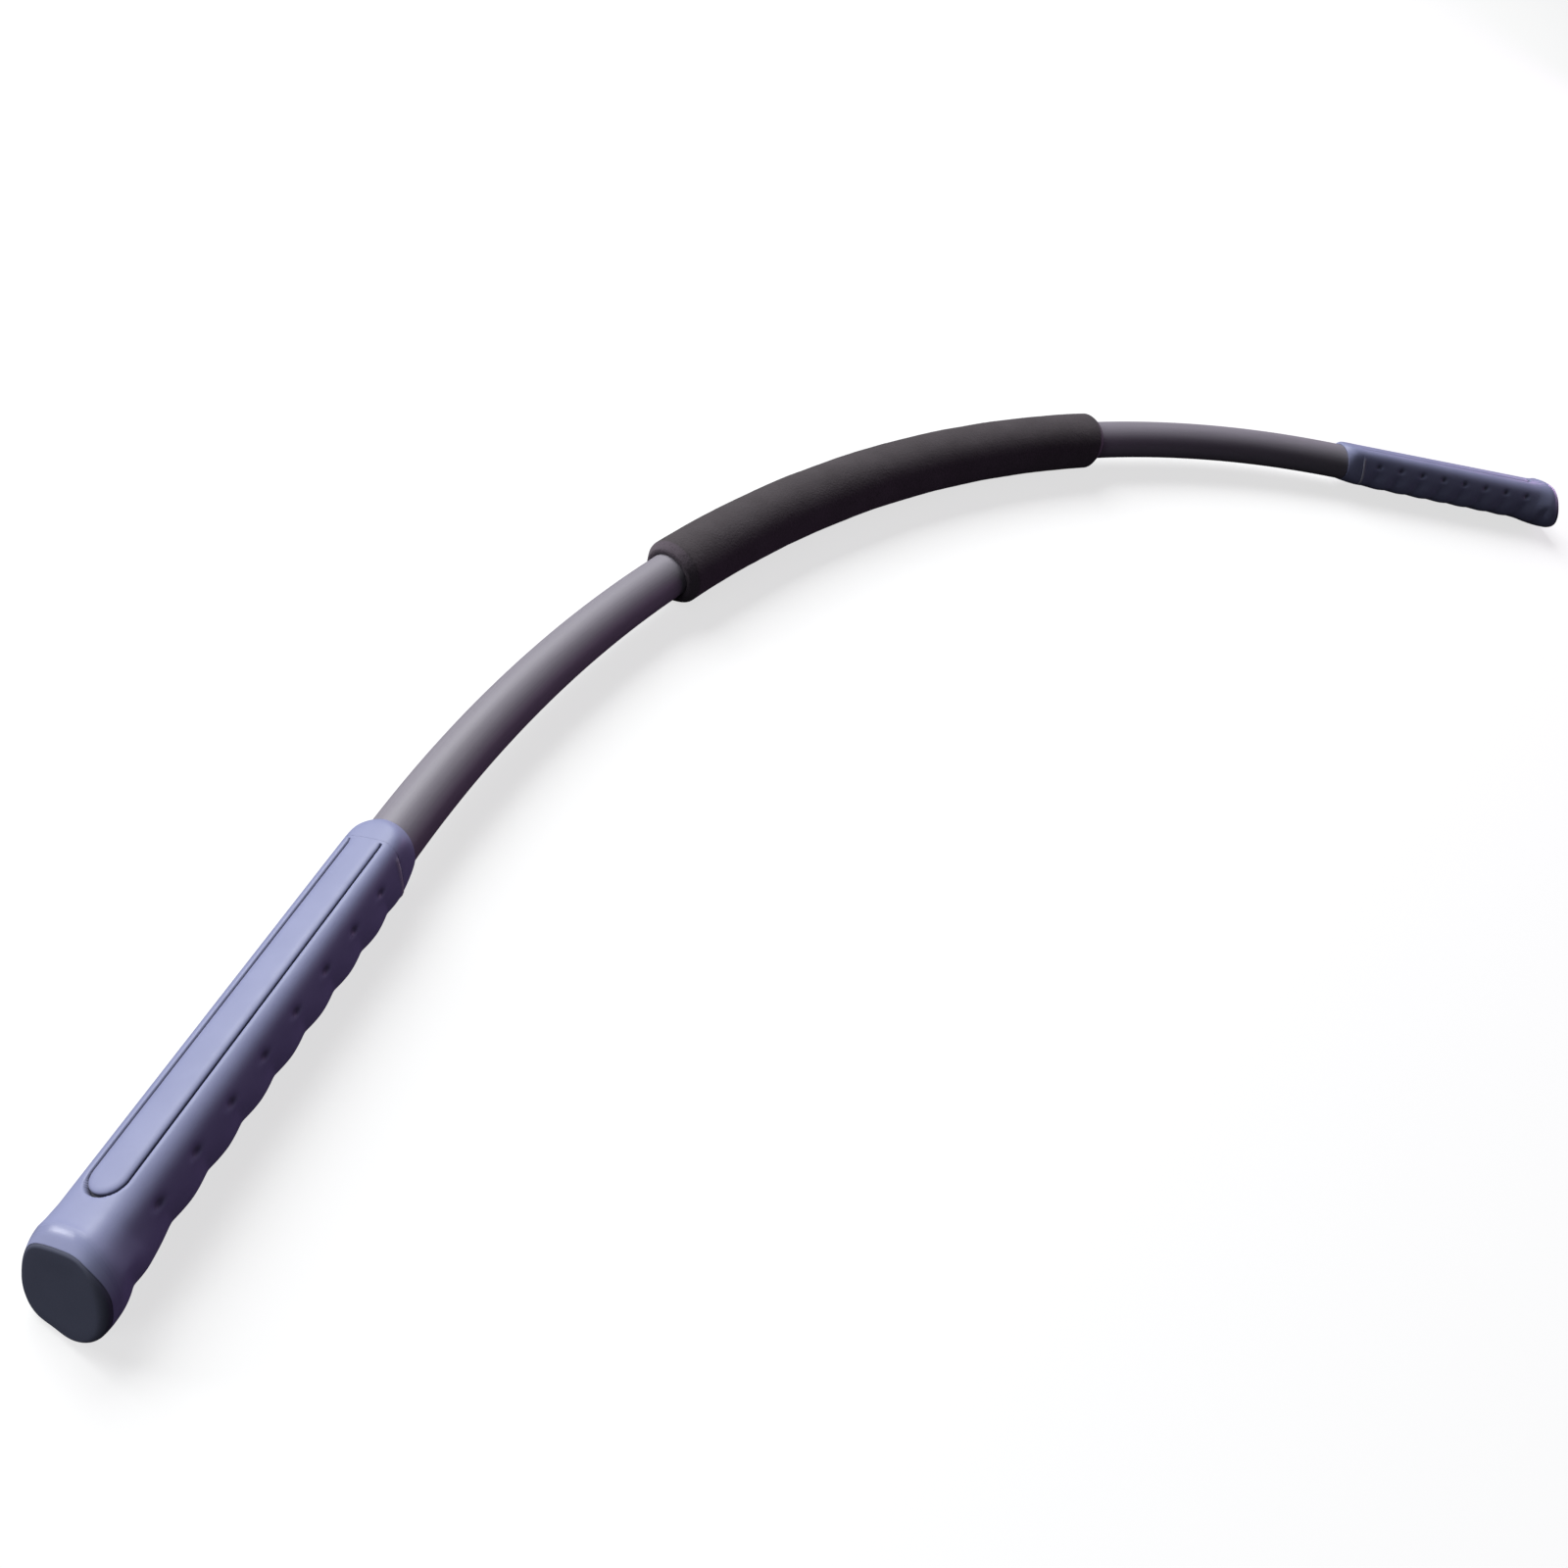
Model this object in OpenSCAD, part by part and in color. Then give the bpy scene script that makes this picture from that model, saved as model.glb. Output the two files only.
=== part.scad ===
/* [Bow] */
// Radius that the middle of the bar is bent to
bow_radius = 600; // [480:10:900]
// Outside diameter of the sheath
sheath_d = 20; // [18:0.5:21]
// Diameter of the fibreglass core
core_d = 10; // [8:0.5:11]
// Length of bare sheath on each side, from the foam to the collar
bare_len = 185; // [160:1:240]

/* [Foam sleeve] */
// Length of the foam along the bow
foam_len = 300; // [220:2:400]
// Outside diameter of the foam
foam_d = 30; // [28:0.5:31]
// Length of the eased edge at each end of the foam
foam_ease = 4; // [2:0.5:6]

/* [Grip] */
// Length of a grip on its axis, from the collar's nose to the end face
grip_len = 166; // [162:1:200]
// Width across the flats behind the collar
grip_front_w = 23.2; // [22.8:0.2:25]
// Width across the flats before the end flares out
grip_waist_w = 25.6; // [24.6:0.2:26]
// Width across the flats at the end cap
grip_butt_w = 27.6; // [26.4:0.2:28]
// Turn of the grip about its axis, from straight up toward the outside of the bow
grip_roll = 26; // [0:1:40]
// Lean of the end face toward the palm panel
butt_slant = 27; // [10:1:32]
// Length of the grip's axis up to the seam behind the collar
collar_len = 11.6; // [11:0.2:12]
// Lean of the collar's front and of the seam behind it
nose_lean = 18; // [10:1:20]
// Thickness of the end cap, measured square to its face
cap_t = 3.2; // [2.5:0.1:4]
// Width of the end cap across its flats
cap_w = 25.8; // [22:0.2:25.8]

/* [Finger grooves] */
// Number of finger grooves along the underside
groove_n = 8; // [5:1:8]
// Distance from one groove to the next
groove_pitch = 16.4; // [13:0.2:16.4]
// Depth of a groove where it cuts the two lower corners
groove_depth = 0.9; // [0.3:0.1:1.2]

/* [Palm panel] */
// Length of the panel
panel_len = 134; // [100:1:134]
// Width of the panel
panel_w = 12.8; // [10:0.2:13.6]
// Gap that shows round the panel
panel_gap = 0.5; // [0.3:0.1:0.8]

/* [Hidden] */
$fn = 64;
// Gap between the lengths that turn on each other
bend_gap = 0.4;
// Gap between nested pieces that don't move
fit = 0.06;
// Step in diameter where a straight end runs on from the bent bar
joint_step = 0.04;
// A bend drum is this much larger than the bar it cuts, so that it still wraps it when bent
drum_ratio = 1.2;
flex_len = foam_len / 2 + bare_len;
bow_half = deg(flex_len);
// Bend lines, measured along the bow from its middle: half way along each half of the foam,
// then a quarter and three quarters of the way along the bare sheath
bend_1 = foam_len / 4;
bend_2 = foam_len / 2 + bare_len / 4;
bend_3 = foam_len / 2 + bare_len * 3 / 4;
drum_1 = foam_d / 2 * drum_ratio;
drum_2 = sheath_d / 2 * drum_ratio;
// Outline of the grip: half widths on the flats and the round that takes off the four corners
half_front = grip_front_w / 2;
half_waist = grip_waist_w / 2;
half_butt = grip_butt_w / 2;
round_front = half_front + 2.4;
round_waist = half_waist + 1.5;
round_butt = half_butt + 1.4;
// How far a rolled grip reaches below its axis at the end cap
butt_reach = round_butt * cos(max(0, acos(half_butt / round_butt) - grip_roll));
// The bar's axis lies this high, so that the foam and both grips lie on the ground
axis_z = max(foam_d / 2, butt_reach);
// How far the sheath goes into the grip
sheath_in = 8;
// The leaning cone that rounds the nose: where its front crosses the axis, its size there and its slope
nose_x = 1.8;
nose_r = sheath_d / 2 + 1.1;
nose_slope = 29;
// Ease of the slanted end's edges
shoulder_r = 1.2;
heel_r = 0.5;
side_r = 1.1;
// Where the floor of the end cap's pocket crosses the axis
pocket_x = grip_len - cap_t / cos(butt_slant);
cap_round = cap_w / 2 + 0.9;
// Where the end starts to flare and where it is at its widest
flare_from = grip_len - 18;
flare_to = grip_len - 8;
flat_slope = atan((half_waist - half_front) / (flare_from - sheath_in));
insert_d = 17;
insert_end = grip_len - 18;
core_in_grip = grip_len - 55;
pin_d = 3;
pin_x = 70;
plug_d = core_d + 0.1;
plug_len = 22;
panel_start = 9.4;
panel_deep = 2;
groove_r = 6.5;
groove_first = 23.2;
groove_half_angle = 104;
pit_r = 1.1;
// The middle of the outline across the bow sits on Y = 0
butt_y = -bow_radius * (1 - cos(bow_half)) - (grip_len + 6.5) * sin(bow_half) - half_butt * cos(bow_half);
mid_y = -(foam_d / 2 + butt_y) / 2;

lavender = [0.56, 0.57, 0.70];
slate = [0.18, 0.19, 0.24];
satin = [0.50, 0.49, 0.52];
foam_dark = [0.20, 0.17, 0.18];
amber = [0.78, 0.74, 0.58];
hard_grey = [0.35, 0.36, 0.42];
steel = [0.72, 0.73, 0.75];

// Angle in degrees that a length along the bow covers
function deg(s) = s / bow_radius * 180 / PI;
// Point of the bow's axis at a length from its middle
function bow_point(s) = [
    bow_radius * sin(deg(s)),
    bow_radius * cos(deg(s)) - bow_radius + mid_y,
    axis_z
];
// Half width of the grip on its flats, up to the flare
function half_at(x) = half_front + (half_waist - half_front) * (x - sheath_in) / (flare_from - sheath_in);
// Radius of the round on its corners, up to the flare
function round_at(x) = round_front + (round_waist - round_front) * (x - sheath_in) / (flare_from - sheath_in);
// Points of a round corner
function corner(x, y, r, a, b) = [
    for (i = [0:6]) [x + r * cos(a + (b - a) * i / 6), y + r * sin(a + (b - a) * i / 6)]
];

// A length of bent tube or rod between two places along the bow
module bent(from, to, r_out, r_in = 0) {
    translate([0, mid_y - bow_radius, axis_z])
        rotate([0, 0, 90 - deg(to)])
            rotate_extrude(angle = deg(to - from), $fn = 360)
                translate([bow_radius, 0])
                    difference() {
                        circle(r = r_out, $fn = 64);
                        if (r_in > 0) circle(r = r_in, $fn = 64);
                    }
}

// Upright drum on a bend line
module drum(s, r) {
    translate(bow_point(s))
        cylinder(h = 80, r = r, center = true, $fn = 96);
}

// What lies past a bend line, outside the drum of the length before it
module past_drum(s, r) {
    difference() {
        translate(bow_point(s))
            rotate([0, 0, -deg(s)])
                translate([0, -50, -50])
                    cube([60, 100, 100]);
        drum(s, r - bend_gap / 2);
    }
}

// A length of the bar between two bend lines, hollow at its start and round at its end
module bent_between(a, drum_a, b, drum_b, r_out, r_in = 0) {
    difference() {
        bent(a, b + drum_b + 2, r_out, r_in);
        drum(a, drum_a + bend_gap / 2);
        past_drum(b, drum_b);
    }
}

// The middle length of the bar, round at both ends
module bent_middle(r_out, r_in = 0) {
    difference() {
        bent(-bend_1 - drum_1 - 2, bend_1 + drum_1 + 2, r_out, r_in);
        past_drum(bend_1, drum_1);
        mirror([1, 0, 0])
            past_drum(bend_1, drum_1);
    }
}

// Places a shape that is drawn along +X onto the right end of the bow
module at_bow_end() {
    translate(bow_point(flex_len))
        rotate([0, 0, -bow_half])
            children();
}

// The same, turned about the grip's axis, with +Z through the palm panel
module at_grip() {
    at_bow_end()
        rotate([-grip_roll, 0, 0])
            children();
}

// The right half's shapes, mirrored for the left
module on_left() {
    mirror([1, 0, 0])
        children();
}

// Side outline of the grip, slanted at the end
module grip_side() {
    e = butt_slant;
    top_x = grip_len - (shoulder_r + (half_butt - shoulder_r) * sin(e)) / cos(e);
    heel_x = grip_len - (heel_r - (half_butt - heel_r) * sin(e)) / cos(e);
    rotate([90, 0, 0])
        linear_extrude(height = 60, center = true)
            polygon(concat(
                [[-5, -half_front], [-5, half_front], [sheath_in, half_front], [flare_from, half_waist]],
                corner(top_x, half_butt - shoulder_r, shoulder_r, 90, e),
                corner(heel_x, heel_r - half_butt, heel_r, e, -90),
                [[flare_to, -half_butt], [flare_from, -half_waist], [sheath_in, -half_front]]
            ));
}

// Half of the grip's top outline, from the nose to past the end
function top_edge() = [
    [-5, half_front], [sheath_in, half_front], [flare_from, half_waist],
    [flare_to, half_butt], [grip_len + 20, half_butt]
];

// Top outline of the grip
module grip_top() {
    e = top_edge();
    linear_extrude(height = 60, center = true)
        polygon(concat(e, [for (i = [len(e) - 1:-1:0]) [e[i][0], -e[i][1]]]));
}

// Eases the two side edges of the slanted end
module grip_end_sides() {
    r = side_r;
    w = half_butt + 0.4;
    translate([grip_len, 0, 0])
        rotate([0, -butt_slant, 0])
            linear_extrude(height = 400, center = true)
                polygon(concat(
                    [[-240, -w]],
                    corner(-r, r - w, r, -90, 0),
                    corner(-r, w - r, r, 0, 90),
                    [[-240, w]]
                ));
}

// Turned shape that rounds the corners of the grip
module grip_round() {
    rotate([90, 0, 90])
        rotate_extrude($fn = 96)
            polygon([
                [0, -5], [round_front, -5], [round_front, sheath_in], [round_waist, flare_from],
                [round_butt, flare_to], [round_butt, grip_len + 20], [0, grip_len + 20]
            ]);
}

// Leaning cone that draws the grip in to its nose, quickly on the panel's side and slowly underneath
module nose_cone() {
    translate([nose_x, 0, 0])
        rotate([0, 90 - nose_lean, 0])
            cylinder(h = 240, r1 = nose_r, r2 = nose_r + 240 * tan(nose_slope), $fn = 96);
}

// What lies behind a plane that crosses the grip's axis at x and leans toward the panel
module behind(x, lean) {
    translate([x, 0, 0])
        rotate([0, -lean, 0])
            translate([0, -150, -150])
                cube(300);
}

// Outside of a whole grip, collar and end cap included
module grip_form() {
    intersection() {
        grip_side();
        grip_top();
        grip_end_sides();
        grip_round();
        nose_cone();
    }
}

// Section of the end cap, grown by g
module cap_section(g = 0) {
    intersection() {
        circle(r = cap_round + g, $fn = 96);
        square(cap_w + 2 * g, center = true);
    }
}

// Bar of that section along the grip's axis
module cap_bar(g = 0) {
    translate([insert_end - 5, 0, 0])
        rotate([90, 0, 90])
            linear_extrude(height = 60)
                cap_section(g);
}

// Round rod along the grip's axis
module axial(from, to, d) {
    translate([from, 0, 0])
        rotate([0, 90, 0])
            cylinder(h = to - from, d = d);
}

// Outline of the palm panel, straight at the collar and round at the end cap, grown by side and front
module panel_outline(side = 0, front = 0) {
    r = panel_w / 2;
    translate([panel_start + panel_len - r, 0])
        circle(r = r + side, $fn = 48);
    translate([panel_start - front, -r - side])
        square([panel_len - r + front, 2 * (r + side)]);
}

// Panel prism, lying along the sloped flat
module panel_prism(side, front, low, high) {
    translate([sheath_in, 0, half_front])
        rotate([0, -flat_slope, 0])
            translate([-sheath_in, 0, low])
                linear_extrude(height = high - low)
                    panel_outline(side, front);
}

// One finger groove round the underside: a ring that cuts the two lower corners,
// and a pit on each side where it ends
module finger_groove(x) {
    ring = round_at(x) + groove_r - groove_depth;
    top = half_at(x) * tan(groove_half_angle - 90);
    translate([x, 0, 0]) {
        rotate([90, 0, 90])
            rotate([0, 0, -90 - groove_half_angle])
                rotate_extrude(angle = 2 * groove_half_angle, $fn = 128)
                    translate([ring, 0])
                        circle(r = groove_r, $fn = 48);
        for (s = [-1, 1])
            translate([0, s * (half_at(x) - 0.4), top])
                sphere(r = pit_r, $fn = 24);
    }
}

// Section of the grip behind the collar
module front_section() {
    intersection() {
        circle(r = round_front);
        square(2 * half_front, center = true);
    }
}

module right_collar() {
    difference() {
        intersection() {
            translate([-5, 0, 0])
                rotate([90, 0, 90])
                    linear_extrude(height = 30)
                        front_section();
            nose_cone();
        }
        behind(collar_len - fit, nose_lean);
        axial(-10, sheath_in, sheath_d + 2 * fit);
        axial(sheath_in - 1, 30, insert_d + 2 * fit);
    }
}

module right_insert() {
    difference() {
        axial(sheath_in, insert_end, insert_d);
        axial(sheath_in - 1, insert_end + 1, core_d + 2 * fit);
        translate([pin_x, 0, 0])
            cylinder(h = 40, d = pin_d + 2 * fit, center = true, $fn = 32);
    }
}

module right_sleeve() {
    difference() {
        intersection() {
            grip_form();
            behind(collar_len, nose_lean);
        }
        axial(-10, insert_end + fit, insert_d + 2 * fit);
        axial(insert_end - 1, grip_len + 20, plug_d + 1);
        intersection() {
            cap_bar(fit);
            behind(pocket_x, butt_slant);
        }
        panel_prism(panel_gap, fit, -panel_deep - fit, 6);
        for (i = [0:groove_n - 1])
            finger_groove(groove_first + i * groove_pitch);
    }
}

module right_panel() {
    intersection() {
        panel_prism(0, 0, -panel_deep, 0.35);
        rotate([0, 90, 0])
            translate([0, 0, sheath_in])
                cylinder(
                    h = flare_from - sheath_in,
                    r1 = round_front + 0.15, r2 = round_waist + 0.15, $fn = 96
                );
    }
}

module right_pin() {
    translate([pin_x, 0, 0])
        cylinder(h = insert_d - 0.6, d = pin_d, center = true, $fn = 32);
}

module right_cap() {
    difference() {
        intersection() {
            cap_bar();
            behind(pocket_x + fit, butt_slant);
        }
        behind(grip_len, butt_slant);
    }
    difference() {
        axial(insert_end - plug_len, grip_len - 1, plug_d);
        behind(pocket_x + fit + 1, butt_slant);
    }
}

module core_right_shape() {
    difference() {
        union() {
            bent(bend_3, flex_len, core_d / 2);
            at_bow_end()
                axial(-1, core_in_grip, core_d - joint_step);
        }
        drum(bend_3, drum_2 + bend_gap / 2);
        at_grip()
            translate([pin_x, 0, 0])
                cylinder(h = 40, d = pin_d + 2 * fit, center = true, $fn = 32);
    }
}

module sheath_right_shape() {
    difference() {
        union() {
            bent(bend_3, flex_len, sheath_d / 2);
            at_bow_end()
                axial(-1, sheath_in - fit, sheath_d - joint_step);
        }
        bent(bend_3 - 5, flex_len, core_d / 2 + fit);
        at_bow_end()
            axial(-1, sheath_in + 1, core_d + 2 * fit + joint_step);
        drum(bend_3, drum_2 + bend_gap / 2);
    }
}

module foam_right_shape() {
    ease_from = foam_len / 2 - foam_ease;
    difference() {
        union() {
            bent(bend_1, ease_from, foam_d / 2);
            translate(bow_point(ease_from))
                rotate([0, 0, -deg(ease_from)])
                    rotate([0, 90, 0])
                        translate([0, 0, -1])
                            cylinder(h = foam_ease + 1, r1 = foam_d / 2 - joint_step, r2 = foam_d / 2 - 2.4);
        }
        bent(bend_1 - 5, foam_len / 2 + 5, sheath_d / 2 + fit);
        drum(bend_1, drum_1 + bend_gap / 2);
    }
}

module core_center() {
    color(amber)
        bent_middle(core_d / 2);
}

module core_right_inner() {
    color(amber)
        bent_between(bend_1, drum_1, bend_2, drum_2, core_d / 2);
}

module core_left_inner() {
    on_left() core_right_inner();
}

module core_right_outer() {
    color(amber)
        bent_between(bend_2, drum_2, bend_3, drum_2, core_d / 2);
}

module core_left_outer() {
    on_left() core_right_outer();
}

module core_right_end() {
    color(amber) core_right_shape();
}

module core_left_end() {
    on_left() core_right_end();
}

module sheath_center() {
    color(satin)
        bent_middle(sheath_d / 2, core_d / 2 + fit);
}

module sheath_right_inner() {
    color(satin)
        bent_between(bend_1, drum_1, bend_2, drum_2, sheath_d / 2, core_d / 2 + fit);
}

module sheath_left_inner() {
    on_left() sheath_right_inner();
}

module sheath_right_outer() {
    color(satin)
        bent_between(bend_2, drum_2, bend_3, drum_2, sheath_d / 2, core_d / 2 + fit);
}

module sheath_left_outer() {
    on_left() sheath_right_outer();
}

module sheath_right_end() {
    color(satin) sheath_right_shape();
}

module sheath_left_end() {
    on_left() sheath_right_end();
}

module foam_center() {
    color(foam_dark)
        bent_middle(foam_d / 2, sheath_d / 2 + fit);
}

module foam_right() {
    color(foam_dark) foam_right_shape();
}

module foam_left() {
    on_left() foam_right();
}

module collar_right() {
    color(lavender) at_grip() right_collar();
}

module collar_left() {
    on_left() collar_right();
}

module grip_insert_right() {
    color(hard_grey) at_grip() right_insert();
}

module grip_insert_left() {
    on_left() grip_insert_right();
}

module grip_sleeve_right() {
    color(lavender) at_grip() right_sleeve();
}

module grip_sleeve_left() {
    on_left() grip_sleeve_right();
}

module palm_panel_right() {
    color(lavender) at_grip() right_panel();
}

module palm_panel_left() {
    on_left() palm_panel_right();
}

module retaining_pin_right() {
    color(steel) at_grip() right_pin();
}

module retaining_pin_left() {
    on_left() retaining_pin_right();
}

module end_cap_right() {
    color(slate) at_grip() right_cap();
}

module end_cap_left() {
    on_left() end_cap_right();
}

core_center();
core_left_inner();
core_left_outer();
core_left_end();
core_right_inner();
core_right_outer();
core_right_end();
sheath_center();
sheath_left_inner();
sheath_left_outer();
sheath_left_end();
sheath_right_inner();
sheath_right_outer();
sheath_right_end();
foam_center();
foam_left();
foam_right();
collar_left();
collar_right();
grip_insert_left();
grip_insert_right();
grip_sleeve_left();
grip_sleeve_right();
palm_panel_left();
palm_panel_right();
retaining_pin_left();
retaining_pin_right();
end_cap_left();
end_cap_right();
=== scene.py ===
import math

import bmesh
import bpy
import numpy as np
from mathutils import Matrix, Vector, noise


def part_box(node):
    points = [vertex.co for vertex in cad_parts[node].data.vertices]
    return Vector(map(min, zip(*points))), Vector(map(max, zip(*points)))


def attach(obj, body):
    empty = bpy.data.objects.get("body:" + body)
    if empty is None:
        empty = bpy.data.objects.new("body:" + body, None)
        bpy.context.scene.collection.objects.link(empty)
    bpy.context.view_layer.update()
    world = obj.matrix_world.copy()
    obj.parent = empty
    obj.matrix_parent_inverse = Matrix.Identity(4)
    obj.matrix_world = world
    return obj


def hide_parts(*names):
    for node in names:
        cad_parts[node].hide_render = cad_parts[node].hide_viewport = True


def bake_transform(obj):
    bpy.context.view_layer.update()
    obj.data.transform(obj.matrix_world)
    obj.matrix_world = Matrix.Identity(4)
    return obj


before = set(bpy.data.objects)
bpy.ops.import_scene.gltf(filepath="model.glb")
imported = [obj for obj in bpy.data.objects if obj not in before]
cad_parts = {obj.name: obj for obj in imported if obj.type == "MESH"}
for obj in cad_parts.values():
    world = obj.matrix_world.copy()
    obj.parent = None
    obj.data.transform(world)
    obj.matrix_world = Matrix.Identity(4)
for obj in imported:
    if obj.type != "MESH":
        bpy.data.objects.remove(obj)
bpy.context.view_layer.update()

scene = bpy.context.scene

# Sizes are in millimetres, as in the part's source. Where the bow sits is read off the middle foam
# part in model.glb.
MM = 0.001
SIDES = {"left": -1.0, "right": 1.0}

# The bow: radii, and lengths along its axis from the middle.
BOW_R = 600.0
FOAM_R, SHEATH_R, CORE_R = 15.0, 10.0, 5.0
FIT = 0.06
FOAM_HALF = 150.0
FLEX = 335.0
ZONE_2 = FOAM_HALF + (FLEX - FOAM_HALF) / 2
SHEATH_END = FLEX + 7.94
CORE_END = FLEX + 111.0

foam_low, foam_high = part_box("foam_center")
AXIS_Z = (foam_low.z + foam_high.z) / 2 / MM
MID_Y = foam_high.y / MM - FOAM_R

# The grip: x runs from its nose along its axis, and angles start at the palm panel's middle.
GRIP_LEN = 166.0
COLLAR_LEN = 11.6
SHEATH_IN = 8.0
ROLL_DEG = 26
ROLL, SLANT, LEAN = math.radians(ROLL_DEG), math.radians(27), math.radians(18)
NOSE_X, NOSE_R, NOSE_SLOPE = 1.8, 11.1, math.radians(29)
INSERT_R, INSERT_END = 8.56, 148.06
PLUG_R = 5.55
CAP_T = 3.2
POCKET_X = GRIP_LEN - CAP_T / math.cos(SLANT)


# Placing

def along_bow(s, out, up):
    """Points of the right half: s along the bow, out from its axis, up."""
    s, out, up = np.broadcast_arrays(np.asarray(s, float), out, up)
    t = np.minimum(s, FLEX) / BOW_R
    past = np.maximum(s - FLEX, 0)
    x = (BOW_R + out) * np.sin(t) + past * np.cos(t)
    y = (BOW_R + out) * np.cos(t) - BOW_R + MID_Y - past * np.sin(t)
    return np.stack([x, y, AXIS_Z + up], -1)


def on_grip(p):
    """Points of the right grip: x from the nose along its axis, z through the palm panel."""
    p = np.asarray(p, float)
    y = p[..., 1] * math.cos(ROLL) + p[..., 2] * math.sin(ROLL)
    z = -p[..., 1] * math.sin(ROLL) + p[..., 2] * math.cos(ROLL)
    return along_bow(FLEX + p[..., 0], y, z)


def add_object(name, data):
    obj = bpy.data.objects.new(name, data)
    scene.collection.objects.link(obj)
    return obj


def make_piece(name, points, faces, side, uv=None, values=None, sharp=40):
    """A mesh object from points of the right half in millimetres, mirrored for the left."""
    co = np.array(points, float) * MM
    co[:, 0] *= SIDES[side]
    mesh = bpy.data.meshes.new(name)
    mesh.from_pydata(co.tolist(), [], faces)
    if uv is not None:
        layer = mesh.uv_layers.new(name="along")
        layer.data.foreach_set("uv", np.asarray(uv, np.float32).ravel())
    for key, value in (values or {}).items():
        attribute = mesh.attributes.new(key, "FLOAT", "POINT")
        attribute.data.foreach_set("value", np.asarray(value, np.float32).ravel())
    bm = bmesh.new()
    bm.from_mesh(mesh)
    bmesh.ops.recalc_face_normals(bm, faces=bm.faces)
    bm.to_mesh(mesh)
    bm.free()
    mesh.shade_smooth()
    mesh.set_sharp_from_angle(angle=math.radians(sharp))
    mesh.validate()
    return add_object(name, mesh)


def ring_faces(n, m, closed):
    """Quads of n rings of m points, the last ring joined to the first if closed, else capped."""
    faces = []
    for i in range(n if closed else n - 1):
        a, b = i * m, (i + 1) % n * m
        for j in range(m):
            k = (j + 1) % m
            faces.append((a + j, a + k, b + k, b + j))
    if not closed:
        faces.append(tuple(range(m - 1, -1, -1)))
        faces.append(tuple(range((n - 1) * m, n * m)))
    return faces


def ring_uv(s, girth, m, faces, closed):
    """Lengths along and round the piece at each face corner, in metres."""
    n = len(s)
    quads = (n if closed else n - 1) * m
    uv = []
    for f in range(quads):
        i, j = divmod(f, m)
        k = (i + 1) % n
        for row, col in ((i, j), (i, j + 1), (k, j + 1), (k, j)):
            uv.append((s[row] * MM, girth * col / m * MM))
    for face in faces[quads:]:
        uv += [(0.0, 0.0)] * len(face)
    return uv


def swept(name, profile, side, turns, closed=True, wobble=None, values=None):
    """A piece turned round the bow's axis: profile holds (length along the bow, radius)."""
    s, r = np.array(profile, float).T
    a = np.arange(turns) * 2 * math.pi / turns
    s_all, r_all = np.repeat(s[:, None], turns, 1), np.repeat(r[:, None], turns, 1)
    if wobble is not None:
        r_all = r_all + wobble(s_all, r_all, a)
    points = along_bow(s_all, r_all * np.cos(a), r_all * np.sin(a)).reshape(-1, 3)
    faces = ring_faces(len(s), turns, closed)
    uv = ring_uv(s, 2 * math.pi * SHEATH_R, turns, faces, closed)
    values = {key: np.repeat(np.array(v, float)[:, None], turns, 1)
              for key, v in (values or {}).items()}
    return make_piece(name, points, faces, side, uv=uv, values=values)


# Materials

NOISE_SPAN = (0.3, 0.7)
FINE, COARSE, FAINT = 0.0002, 0.0004, 0.0001


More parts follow.
